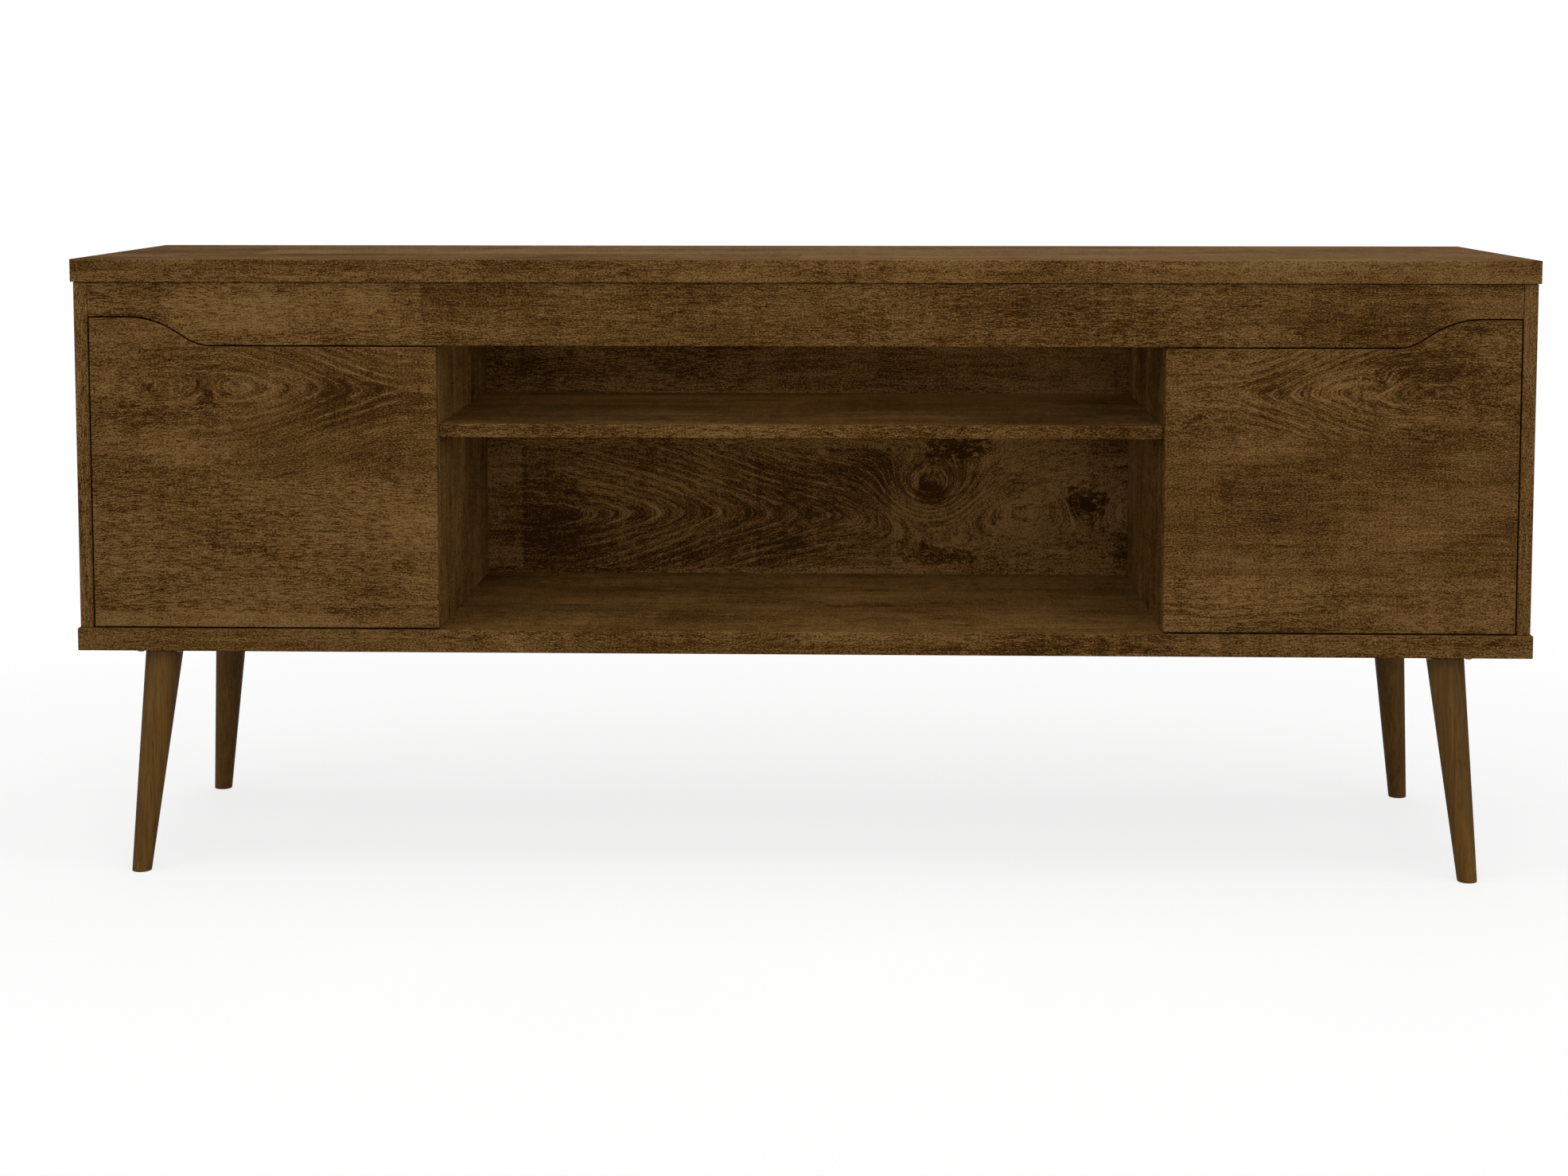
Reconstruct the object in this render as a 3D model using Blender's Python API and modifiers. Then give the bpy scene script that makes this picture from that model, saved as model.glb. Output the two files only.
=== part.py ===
"""TV stand on four splayed legs: an open niche with a shelf between two cabinets with swing doors.

Metres, +Z up. The origin is on the floor below the middle of the case, and the front faces -Y.
"""

import math

import bmesh
import bpy
from mathutils import Matrix, Vector

OBJECT_NAME = "tv_stand_with_doors"

# Case
WIDTH = 1.600
DEPTH = 0.400
CASE_HEIGHT = 0.434
LEG_HEIGHT = 0.251  # floor to the underside of the case
SLAB_THICKNESS = 0.025  # top and bottom panels
BOARD_THICKNESS = 0.015  # sides, dividers, apron and shelf
BACK_THICKNESS = 0.003
NICHE_WIDTH = 0.796
SHELF_RISE = 0.212  # niche floor to the underside of the shelf
SIDE_INSET = 0.0025  # the slabs stand proud of the side panels by this
FRONT_INSET = 0.0035  # and of the side panels' and apron's front by this
BACK_INSET = 0.0067  # the slabs stand proud of the back panels by this
BACK_SEAM = 0.0006  # between neighbouring back panels

# Apron and the S-curve at each of its ends
APRON_END_HEIGHT = 0.038
APRON_DROP = 0.0315  # how much deeper the apron is between its curves
CURVE_START = 0.0445  # side panel to where the edge starts to fall
CURVE_ANGLE = math.radians(32)
CURVE_HIGH_RADIUS = 0.095
CURVE_LOW_RADIUS = 0.050
CURVE_STEPS = 7

# Doors
DOOR_THICKNESS = 0.015
DOOR_BOTTOM_GAP = 0.002
DOOR_TOP_GAP = 0.0015
BUMPER_THICKNESS = 0.0015
BUMPER_RADIUS = 0.005
BUMPER_TIP_RADIUS = 0.004
BUMPER_INSET = 0.030  # from the door's lower and inner upper corners

# Concealed hinges, each measured in its own frame: the pin's axis is the origin,
# X runs from the side panel towards the niche and Y into the cabinet
HINGE_INSET = 0.055  # from the door's lower edge and its outer upper edge
PIN_FROM_EDGE = 0.019
PIN_RADIUS = 0.00135
PIN_SEAT = 0.0058  # length of pin held at each side of the cup's slot
CUP_TAB = 0.005  # door left between its edge and the cup's bore
CUP_RADIUS = 0.0175
CUP_DEPTH = 0.0115
CUP_FLOOR = 0.0006
CUP_WALL = 0.0014  # at the corners of the slot
SLOT_CLEARANCE = 0.0012  # at each side of the arm
FLANGE_LIP = 0.0015
FLANGE_THICKNESS = 0.0012
FLANGE_WINGS = (0.012, 0.060)
KNUCKLE_RADIUS = 0.0029
ARM_THICKNESS = 0.0025
ARM_WIDTH = 0.012
ARM_END = 0.062
ARM_HEEL = 0.005  # how far the bend onto the plate reaches, each way
THROAT_ANGLE = math.radians(34)
NECK_SWEEP = math.radians(48)
NECK_STEPS = 5
NECK_CLEARANCE = 0.0027  # between the arm's neck and the circle that the door's edge swings in
PLATE_BLOCK = (0.031, 0.060, 0.007)  # start, end and height of the raised middle
PLATE_WINGS = (0.038, 0.052, 0.0025)
PLATE_WING_SPAN = 0.046
SWING_CLEARANCE = 0.0005  # between the door's corner and the side panel as it swings past

# Legs
LEG_INSET_X = 0.087
LEG_INSET_Y = 0.040
LEG_SPLAY_X = 0.024  # how far the foot stands out from the leg's top
LEG_SPLAY_Y = 0.028
LEG_TOP_RADIUS = 0.0205
LEG_FOOT_RADIUS = 0.0107
LEG_PLATE_SIZE = 0.056
LEG_PLATE_THICKNESS = 0.002
LEG_BOSS_RADIUS = 0.016
LEG_BOLT_RADIUS = 0.004
LEG_BOLT_DEPTH = 0.040  # length held in the leg

# Fittings inside the boards
DOWEL_RADIUS = 0.004
DOWEL_COVER = 0.005  # board left behind a dowel in its face
DOWEL_IN_END = 0.020  # depth in the end of a board
SHELF_DOWEL_INSET = 0.060
CAM_RADIUS = 0.0075
CAM_COVER = 0.0022  # board left behind a cam's pocket
CAM_BOLT_RADIUS = 0.003
CAM_BOLT_IN_SLAB = 0.011
CAM_FROM_END = 0.034
CAM_FROM_FRONT = 0.115

# Fits and edges
GAP = 0.0003  # between pieces that touch
EDGE_ROUND = 0.0008
HARDWARE_ROUND = 0.0004
ROUND_SEGMENTS = 2
SHARP_ANGLE = math.radians(35)
FLAT_ANGLE = math.radians(1)
WELD = 0.00001

# Sides of the round pieces
CUP_SIDES = 32
PIN_SIDES = 16
KNUCKLE_SIDES = 20
BUMPER_SIDES = 20
DOWEL_SIDES = 16
CAM_SIDES = 24
CAM_BOLT_SIDES = 12
LEG_SIDES = 40
LEG_BOLT_SIDES = 16
LEG_BOSS_SIDES = 32

# Worked out
HALF_WIDTH = WIDTH / 2
SIDE_OUTER = HALF_WIDTH - SIDE_INSET
SIDE_INNER = SIDE_OUTER - BOARD_THICKNESS
NICHE_HALF = NICHE_WIDTH / 2
DIVIDER_OUTER = NICHE_HALF + BOARD_THICKNESS
TOTAL_HEIGHT = LEG_HEIGHT + CASE_HEIGHT
FLOOR_TOP = LEG_HEIGHT + SLAB_THICKNESS
TOP_UNDERSIDE = TOTAL_HEIGHT - SLAB_THICKNESS
SHELF_UNDERSIDE = FLOOR_TOP + SHELF_RISE
DOWEL_IN_FACE = BOARD_THICKNESS - DOWEL_COVER
CAM_THICKNESS = BOARD_THICKNESS - CAM_COVER - 2 * GAP
FRONT = -DEPTH / 2
FRAME_FRONT = FRONT + FRONT_INSET
APRON_BACK = FRAME_FRONT + BOARD_THICKNESS
DIVIDER_FRONT = APRON_BACK + GAP
BACK_FRONT = DEPTH / 2 - BACK_INSET - BACK_THICKNESS
BOARD_BACK = BACK_FRONT - GAP
DOOR_BACK = DIVIDER_FRONT - BUMPER_THICKNESS - 2 * GAP
DOOR_FRONT = DOOR_BACK - DOOR_THICKNESS
DOOR_BOTTOM = FLOOR_TOP + DOOR_BOTTOM_GAP
DOOR_OUTER_TOP = TOP_UNDERSIDE - APRON_END_HEIGHT - DOOR_TOP_GAP
DOOR_INNER_TOP = DOOR_OUTER_TOP - APRON_DROP
PIN_FROM_BACK = CUP_DEPTH - 2 * GAP - CUP_FLOOR - KNUCKLE_RADIUS - GAP
PIN_FROM_FRONT = DOOR_THICKNESS - PIN_FROM_BACK
CUP_FROM_EDGE = CUP_TAB + CUP_RADIUS
CUP_FROM_PIN = CUP_FROM_EDGE - PIN_FROM_EDGE
HALF_SLOT = ARM_WIDTH / 2 + SLOT_CLEARANCE
HALF_SLOT_LENGTH = math.sqrt((CUP_RADIUS - GAP - CUP_WALL) ** 2 - HALF_SLOT**2)
HALF_PIN = HALF_SLOT + PIN_SEAT
DOOR_SWING_RADIUS = math.hypot(PIN_FROM_EDGE, PIN_FROM_FRONT)
DOOR_SIDE_GAP = DOOR_SWING_RADIUS - PIN_FROM_EDGE + SWING_CLEARANCE
SIDE_TO_PIN = DOOR_SIDE_GAP + PIN_FROM_EDGE
NECK_RADIUS = DOOR_SWING_RADIUS + NECK_CLEARANCE + ARM_THICKNESS / 2
ARM_ON_PLATE = -SIDE_TO_PIN + PLATE_BLOCK[2] + 2 * GAP + ARM_THICKNESS / 2
CURVE_STRAIGHT = (
    APRON_DROP - (CURVE_HIGH_RADIUS + CURVE_LOW_RADIUS) * (1 - math.cos(CURVE_ANGLE))
) / math.sin(CURVE_ANGLE)
CURVE_RUN = (
    CURVE_HIGH_RADIUS + CURVE_LOW_RADIUS
) * math.sin(CURVE_ANGLE) + CURVE_STRAIGHT * math.cos(CURVE_ANGLE)

SIDES = (("left", -1), ("right", 1))
LEVELS = (("lower", -1), ("upper", 1))
ENDS = (("front", -1), ("rear", 1))


# Shapes, each added to a bmesh


def block(bm, low, high):
    low, high = Vector(low), Vector(high)
    scale = Matrix.Diagonal((*(high - low), 1))
    bmesh.ops.create_cube(bm, size=1, matrix=Matrix.Translation((low + high) / 2) @ scale)


def rod(bm, start, end, radius, sides, end_radius=None):
    start, end = Vector(start), Vector(end)
    turn = Vector((0, 0, 1)).rotation_difference(end - start).to_matrix().to_4x4()
    bmesh.ops.create_cone(
        bm,
        cap_ends=True,
        segments=sides,
        radius1=radius,
        radius2=radius if end_radius is None else end_radius,
        depth=(end - start).length,
        matrix=Matrix.Translation((start + end) / 2) @ turn,
    )


def ribbon(bm, path, width):
    """An open strip along a path in the XY plane, to be thickened."""
    edges = [[bm.verts.new((x, y, z)) for x, y in path] for z in (-width / 2, width / 2)]
    for low, low_next, high, high_next in zip(edges[0], edges[0][1:], edges[1], edges[1][1:]):
        bm.faces.new((low, low_next, high_next, high))


def level_cut(bm, frame, height, keep_above):
    """Cuts the shape, given in the frame's coordinates, with the level plane at this height."""
    into = frame.inverted()
    up = into.to_3x3() @ Vector((0, 0, 1))
    level = into @ Vector((frame.translation.x, frame.translation.y, height))
    geometry = bm.verts[:] + bm.edges[:] + bm.faces[:]
    cut = bmesh.ops.bisect_plane(
        bm, geom=geometry, plane_co=level, plane_no=up, clear_inner=keep_above, clear_outer=not keep_above
    )
    rim = [item for item in cut["geom_cut"] if isinstance(item, bmesh.types.BMEdge)]
    bmesh.ops.edgeloop_fill(bm, edges=rim)
    bmesh.ops.recalc_face_normals(bm, faces=bm.faces)


def make_mesh(name, *shapes):
    bm = bmesh.new()
    for shape, *values in shapes:
        shape(bm, *values)
    mesh = bpy.data.meshes.new(name)
    bm.to_mesh(mesh)
    bm.free()
    return mesh


# Objects


def clear_scene():
    for obj in list(bpy.data.objects):
        bpy.data.objects.remove(obj)


def new_collection(name):
    collection = bpy.data.collections.new(name)
    bpy.context.scene.collection.children.link(collection)
    return collection


def new_material(name, colour, roughness, metallic=0.0):
    material = bpy.data.materials.new(name)
    material.use_nodes = True
    shader = material.node_tree.nodes["Principled BSDF"]
    shader.inputs["Base Color"].default_value = (*colour, 1)
    shader.inputs["Roughness"].default_value = roughness
    shader.inputs["Metallic"].default_value = metallic
    return material


def add_part(name, mesh, material, frame=None, smooth=False):
    part = bpy.data.objects.new(name, mesh)
    part.matrix_world = frame or Matrix()
    mesh.materials.append(MATERIALS[material])
    if smooth:
        mesh.shade_smooth()
        mesh.set_sharp_from_angle(angle=SHARP_ANGLE)
    PARTS.objects.link(part)
    return part


def add_helper(name, *shapes, frame=None):
    """A solid that only cuts or joins other solids."""
    helper = bpy.data.objects.new(name, make_mesh(name, *shapes))
    helper.matrix_world = frame or Matrix()
    helper.hide_render = True
    helper.display_type = "WIRE"
    HELPERS.objects.link(helper)
    return helper


def combine(part, helper, operation):
    boolean = part.modifiers.new(helper.name, "BOOLEAN")
    boolean.operation = operation
    boolean.object = helper


def cut(part, helper):
    combine(part, helper, "DIFFERENCE")


def join(part, helper):
    combine(part, helper, "UNION")


def round_edges(part, width):
    bevel = part.modifiers.new("rounded_edges", "BEVEL")
    bevel.width = width
    bevel.segments = ROUND_SEGMENTS
    bevel.limit_method = "ANGLE"


def board(name, low, high, material="wood_print", width=EDGE_ROUND):
    """A rounded rectangular board with its origin at its middle."""
    low, high = Vector(low), Vector(high)
    half = (high - low) / 2
    middle = Matrix.Translation((low + high) / 2)
    part = add_part(name, make_mesh(name, (block, -half, half)), material, middle)
    round_edges(part, width)
    return part


def outlined_board(name, outline, thickness, middle_y, mirrored=False):
    """A board cut to an outline of (x, z) points, or to that outline's right half and its mirror image."""
    curve = bpy.data.curves.new(name, "CURVE")
    curve.dimensions = "2D"
    curve.fill_mode = "BOTH"
    curve.extrude = thickness / 2
    spline = curve.splines.new("POLY")
    spline.points.add(len(outline) - 1)
    for point, (x, z) in zip(spline.points, outline):
        point.co = (x, z, 0, 1)
    spline.use_cyclic_u = True
    drawing = bpy.data.objects.new(name, curve)
    drawing.matrix_world = Matrix.Translation((0, middle_y, 0)) @ Matrix.Rotation(math.pi / 2, 4, "X")
    HELPERS.objects.link(drawing)
    graph = bpy.context.evaluated_depsgraph_get()
    mesh = bpy.data.meshes.new_from_object(drawing.evaluated_get(graph))
    frame = drawing.matrix_world.copy()
    bpy.data.objects.remove(drawing)
    bm = bmesh.new()
    bm.from_mesh(mesh)
    bmesh.ops.remove_doubles(bm, verts=bm.verts, dist=WELD)
    bmesh.ops.dissolve_limit(bm, angle_limit=FLAT_ANGLE, verts=bm.verts, edges=bm.edges)
    bmesh.ops.recalc_face_normals(bm, faces=bm.faces)
    bm.to_mesh(mesh)
    bm.free()
    mesh.name = name
    mesh.materials.clear()
    part = add_part(name, mesh, "wood_print", frame)
    if mirrored:
        mirror = part.modifiers.new("other_half", "MIRROR")
        mirror.use_bisect_axis[0] = True
        mirror.merge_threshold = WELD
    round_edges(part, EDGE_ROUND)
    return part


def attach(parts, empty):
    bpy.context.view_layer.update()
    for part in parts:
        part.parent = empty
        part.matrix_parent_inverse = empty.matrix_world.inverted()


# Case


def valance(offset):
    """The apron's lower edge from its high end to its low middle, moved down square to itself.

    Each point is (distance from the side panel, drop below the top panel).
    """
    angles = [CURVE_ANGLE * step / CURVE_STEPS for step in range(CURVE_STEPS + 1)]
    high_radius = CURVE_HIGH_RADIUS - offset
    low_radius = CURVE_LOW_RADIUS + offset
    high_centre = APRON_END_HEIGHT + CURVE_HIGH_RADIUS
    low_centre = APRON_END_HEIGHT + APRON_DROP - CURVE_LOW_RADIUS
    high = [
        (CURVE_START + high_radius * math.sin(angle), high_centre - high_radius * math.cos(angle))
        for angle in angles
    ]
    low = [
        (CURVE_START + CURVE_RUN - low_radius * math.sin(angle), low_centre + low_radius * math.cos(angle))
        for angle in reversed(angles)
    ]
    return high + low


def add_slabs():
    for name, low in (("bottom_panel", LEG_HEIGHT), ("top_panel", TOP_UNDERSIDE)):
        slab = board(name, (-HALF_WIDTH, FRONT, low), (HALF_WIDTH, -FRONT, low + SLAB_THICKNESS))
        level = "lower" if name == "bottom_panel" else "upper"
        cut(slab, CAM_BOLT_HOLES[level])


def add_uprights():
    """Side panels and dividers, bored for the cams and bolts that hold them to the slabs."""
    bottom, top = FLOOR_TOP + GAP, TOP_UNDERSIDE - GAP
    for side, sign in SIDES:
        for kind, inner, outer, front in (
            ("side_panel", SIDE_INNER, SIDE_OUTER, FRAME_FRONT),
            ("divider", NICHE_HALF, DIVIDER_OUTER, DIVIDER_FRONT),
        ):
            near, far = sorted((sign * inner, sign * outer))
            upright = board(f"{side}_{kind}", (near, front, bottom), (far, BOARD_BACK, top))
            middle = sign * (inner + outer) / 2
            mouth, into = (inner, sign) if kind == "side_panel" else (outer, -sign)
            add_cams(upright, f"{side}_{kind}", middle, sign * mouth, into)


def cam_place(level):
    """The cam's height, the height of the bolt's end in the slab, and which way the bolt points."""
    if level == "lower":
        return FLOOR_TOP + CAM_FROM_END, FLOOR_TOP - CAM_BOLT_IN_SLAB, -1
    return TOP_UNDERSIDE - CAM_FROM_END, TOP_UNDERSIDE + CAM_BOLT_IN_SLAB, 1


def add_cams(upright, name, middle, mouth, into):
    """Two cam fittings: a disc let into one face and a bolt that runs on into the slab."""
    y = FRONT + CAM_FROM_FRONT
    for level, _ in LEVELS:
        height, bolt_end, away = cam_place(level)
        disc_end = mouth + into * (CAM_THICKNESS + GAP)
        disc = (rod, (mouth + into * GAP, y, height), (disc_end, y, height), CAM_RADIUS, CAM_SIDES)
        bolt = (rod, (middle, y, height), (middle, y, bolt_end), CAM_BOLT_RADIUS, CAM_BOLT_SIDES)
        fitting = add_part(f"{name}_{level}_cam", make_mesh(f"{name}_{level}_cam", disc), "zinc", smooth=True)
        join(fitting, add_helper(f"{name}_{level}_cam_bolt", bolt))
        pocket_end = (disc_end + into * GAP, y, height)
        pocket = (rod, (mouth - into * GAP, y, height), pocket_end, CAM_RADIUS + GAP, CAM_SIDES)
        hole_end = (middle, y, bolt_end + away * GAP)
        hole = (rod, (middle, y, height), hole_end, CAM_BOLT_RADIUS + GAP, CAM_BOLT_SIDES)
        cut(upright, add_helper(f"{name}_{level}_cam_pocket", pocket))
        cut(upright, add_helper(f"{name}_{level}_cam_hole", hole))


def slab_bolt_holes(level):
    """One helper with the four holes that the cam bolts need in a slab."""
    height, bolt_end, away = cam_place(level)
    y = FRONT + CAM_FROM_FRONT
    middles = [(SIDE_INNER + SIDE_OUTER) / 2, (NICHE_HALF + DIVIDER_OUTER) / 2]
    holes = [
        (rod, (x, y, height), (x, y, bolt_end + away * GAP), CAM_BOLT_RADIUS + GAP, CAM_BOLT_SIDES)
        for middle in middles
        for x in (-middle, middle)
    ]
    return add_helper(f"{level}_slab_bolt_holes", *holes)


def add_backs():
    bottom, top = FLOOR_TOP + GAP, TOP_UNDERSIDE - GAP
    seam = (NICHE_HALF + DIVIDER_OUTER) / 2
    spans = (
        ("left_back_panel", -SIDE_OUTER, -seam - BACK_SEAM / 2),
        ("centre_back_panel", -seam + BACK_SEAM / 2, seam - BACK_SEAM / 2),
        ("right_back_panel", seam + BACK_SEAM / 2, SIDE_OUTER),
    )
    for name, low, high in spans:
        back = BACK_FRONT + BACK_THICKNESS
        board(name, (low, BACK_FRONT, bottom), (high, back, top), "back_board", HARDWARE_ROUND)


def add_apron():
    reach = SIDE_INNER - GAP
    fall = [(SIDE_INNER - inwards, TOP_UNDERSIDE - drop) for inwards, drop in valance(0)]
    top, past_middle = TOP_UNDERSIDE - GAP, -BOARD_THICKNESS
    end = [(past_middle, top), (reach, top), (reach, TOP_UNDERSIDE - APRON_END_HEIGHT)]
    outline = [*end, *fall, (past_middle, TOP_UNDERSIDE - APRON_END_HEIGHT - APRON_DROP)]
    middle_y = FRAME_FRONT + BOARD_THICKNESS / 2
    apron = outlined_board("front_apron", outline, BOARD_THICKNESS, middle_y, mirrored=True)
    height = TOP_UNDERSIDE - APRON_END_HEIGHT / 2
    for side, sign in SIDES:
        start, end = sign * (SIDE_INNER + DOWEL_IN_FACE), sign * (SIDE_INNER - DOWEL_IN_END)
        add_dowel(f"{side}_apron_dowel", start, end, middle_y, height, (f"{side}_side_panel", apron))


def add_shelf():
    reach = NICHE_HALF - GAP
    low = (-reach, DIVIDER_FRONT, SHELF_UNDERSIDE)
    high = (reach, BOARD_BACK, SHELF_UNDERSIDE + BOARD_THICKNESS)
    shelf = board("centre_shelf", low, high)
    height = SHELF_UNDERSIDE + BOARD_THICKNESS / 2
    for side, sign in SIDES:
        for end, direction in ENDS:
            edge = DIVIDER_FRONT if end == "front" else BOARD_BACK
            start, stop = sign * (NICHE_HALF + DOWEL_IN_FACE), sign * (NICHE_HALF - DOWEL_IN_END)
            name = f"{side}_{end}_shelf_dowel"
            y = edge - direction * SHELF_DOWEL_INSET
            add_dowel(name, start, stop, y, height, (f"{side}_divider", shelf))


def add_dowel(name, start, end, y, height, boards):
    """A dowel along X, and its hole in the two boards that it joins."""
    inwards = math.copysign(GAP, end - start)
    dowel = (rod, (start, y, height), (end, y, height), DOWEL_RADIUS, DOWEL_SIDES)
    add_part(name, make_mesh(name, dowel), "dowel_wood", smooth=True)
    hole_start, hole_end = (start - inwards, y, height), (end + inwards, y, height)
    hole = add_helper(f"{name}_hole", (rod, hole_start, hole_end, DOWEL_RADIUS + GAP, DOWEL_SIDES))
    for joined in boards:
        cut(PARTS.objects[joined] if isinstance(joined, str) else joined, hole)


# Doors and hinges


def hinge_heights():
    return {"lower": DOOR_BOTTOM + HINGE_INSET, "upper": DOOR_OUTER_TOP - HINGE_INSET}


def hinge_frame(sign, height):
    """The hinge's own axes. The right hinges are the left ones turned over."""
    place = Matrix.Translation((sign * (SIDE_INNER - SIDE_TO_PIN), DOOR_FRONT + PIN_FROM_FRONT, height))
    return place @ Matrix.Rotation(math.pi if sign > 0 else 0, 4, "Y")


def door_outline(sign):
    outer, inner = SIDE_INNER - DOOR_SIDE_GAP, NICHE_HALF
    fall = [(SIDE_INNER - inwards, TOP_UNDERSIDE - drop) for inwards, drop in valance(DOOR_TOP_GAP)]
    corners = [(inner, DOOR_INNER_TOP), (inner, DOOR_BOTTOM), (outer, DOOR_BOTTOM), (outer, DOOR_OUTER_TOP)]
    return [(sign * x, z) for x, z in corners + fall]


def arm_path():
    """Centreline of the arm: out of the cup, round the door's edge and back along its plate."""
    angles = [THROAT_ANGLE + NECK_SWEEP * step / NECK_STEPS for step in range(NECK_STEPS + 1)]
    neck = [(NECK_RADIUS * math.cos(angle), NECK_RADIUS * math.sin(angle)) for angle in angles]
    shoulder = (ARM_ON_PLATE + ARM_HEEL, NECK_RADIUS + ARM_THICKNESS / 2)
    heel = (ARM_ON_PLATE, NECK_RADIUS + ARM_HEEL)
    return [(0, 0), *neck, shoulder, heel, (ARM_ON_PLATE, ARM_END)]


def add_cup(name, frame):
    floor = PIN_FROM_BACK - CUP_DEPTH + GAP
    seat, brim = PIN_FROM_BACK + GAP, PIN_FROM_BACK + GAP + FLANGE_THICKNESS
    shell = (rod, (CUP_FROM_PIN, floor, 0), (CUP_FROM_PIN, brim, 0), CUP_RADIUS - GAP, CUP_SIDES)
    cup = add_part(f"{name}_cup", make_mesh(f"{name}_cup", shell), "nickel", frame, smooth=True)
    flange = (rod, (CUP_FROM_PIN, seat, 0), (CUP_FROM_PIN, brim, 0), CUP_RADIUS + FLANGE_LIP, CUP_SIDES)
    join(cup, add_helper(f"{name}_flange", flange, frame=frame))
    half_width, half_span = FLANGE_WINGS[0] / 2, FLANGE_WINGS[1] / 2
    wings_low = (CUP_FROM_PIN - half_width, seat, -half_span)
    wings = (block, wings_low, (CUP_FROM_PIN + half_width, brim, half_span))
    join(cup, add_helper(f"{name}_wings", wings, frame=frame))
    slot_low = (CUP_FROM_PIN - HALF_SLOT_LENGTH, floor + CUP_FLOOR, -HALF_SLOT)
    slot = (block, slot_low, (CUP_FROM_PIN + HALF_SLOT_LENGTH, brim + FLANGE_THICKNESS, HALF_SLOT))
    cut(cup, add_helper(f"{name}_slot", slot, frame=frame))
    reach = HALF_PIN + GAP
    hole = (rod, (0, 0, -reach), (0, 0, reach), PIN_RADIUS + GAP, PIN_SIDES)
    cut(cup, add_helper(f"{name}_pin_hole", hole, frame=frame))
    return cup


def add_pin(name, frame):
    shape = (rod, (0, 0, -HALF_PIN), (0, 0, HALF_PIN), PIN_RADIUS, PIN_SIDES)
    return add_part(f"{name}_pin", make_mesh(f"{name}_pin", shape), "steel", frame, smooth=True)


def add_arm(name, frame):
    mesh = make_mesh(f"{name}_arm", (ribbon, arm_path(), ARM_WIDTH))
    arm = add_part(f"{name}_arm", mesh, "nickel", frame)
    sheet = arm.modifiers.new("sheet", "SOLIDIFY")
    sheet.thickness = ARM_THICKNESS
    sheet.offset = 0
    sheet.use_even_offset = True
    half = ARM_WIDTH / 2
    knuckle = (rod, (0, 0, -half), (0, 0, half), KNUCKLE_RADIUS, KNUCKLE_SIDES)
    join(arm, add_helper(f"{name}_knuckle", knuckle, frame=frame))
    bore = (rod, (0, 0, -ARM_WIDTH), (0, 0, ARM_WIDTH), PIN_RADIUS + GAP, PIN_SIDES)
    cut(arm, add_helper(f"{name}_knuckle_bore", bore, frame=frame))


def add_hinge_plate(name, frame):
    base = -SIDE_TO_PIN + GAP
    start, end, height = PLATE_BLOCK
    half = ARM_WIDTH / 2
    raised = (block, (base, start, -half), (base + height, end, half))
    plate = add_part(f"{name}_plate", make_mesh(f"{name}_plate", raised), "nickel", frame)
    start, end, height = PLATE_WINGS
    half = PLATE_WING_SPAN / 2
    wings = (block, (base, start, -half), (base + height, end, half))
    join(plate, add_helper(f"{name}_plate_wings", wings, frame=frame))


def add_doors():
    for side, sign in SIDES:
        middle_y = DOOR_FRONT + DOOR_THICKNESS / 2
        door = outlined_board(f"{side}_door", door_outline(sign), DOOR_THICKNESS, middle_y)
        moving = [door]
        for level, height in hinge_heights().items():
            name = f"{side}_{level}_hinge"
            frame = hinge_frame(sign, height)
            moving += [add_cup(name, frame), add_pin(name, frame)]
            add_arm(name, frame)
            add_hinge_plate(name, frame)
            floor = (CUP_FROM_PIN, PIN_FROM_BACK - CUP_DEPTH, 0)
            bore = (rod, floor, (CUP_FROM_PIN, PIN_FROM_BACK + GAP, 0), CUP_RADIUS, CUP_SIDES)
            cut(door, add_helper(f"{name}_cup_bore", bore, frame=frame))
        pivot = bpy.data.objects.new(f"{side}_door_axis", None)
        pivot.location = hinge_frame(sign, (DOOR_BOTTOM + DOOR_OUTER_TOP) / 2).translation
        PARTS.objects.link(pivot)
        attach(moving, pivot)
        add_bumpers(side, sign)


def add_bumpers(side, sign):
    """Soft pads on the divider's front edge, which the closed door rests against."""
    x = sign * (NICHE_HALF + DIVIDER_OUTER) / 2
    front, back = DOOR_BACK + GAP, DIVIDER_FRONT - GAP
    for level, z in (("lower", DOOR_BOTTOM + BUMPER_INSET), ("upper", DOOR_INNER_TOP - BUMPER_INSET)):
        name = f"{side}_{level}_door_bumper"
        pad = (rod, (x, back, z), (x, front, z), BUMPER_RADIUS, BUMPER_SIDES, BUMPER_TIP_RADIUS)
        add_part(name, make_mesh(name, pad), "bumper", smooth=True)


# Legs


def leg_frame(x_sign, y_sign):
    """Origin where the leg's axis meets the case, Z up along the axis."""
    top = Vector((x_sign * (HALF_WIDTH - LEG_INSET_X), y_sign * (DEPTH / 2 - LEG_INSET_Y), LEG_HEIGHT))
    upwards = Vector((-x_sign * LEG_SPLAY_X, -y_sign * LEG_SPLAY_Y, LEG_HEIGHT))
    turn = Vector((0, 0, 1)).rotation_difference(upwards).to_matrix().to_4x4()
    return Matrix.Translation(top) @ turn


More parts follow.
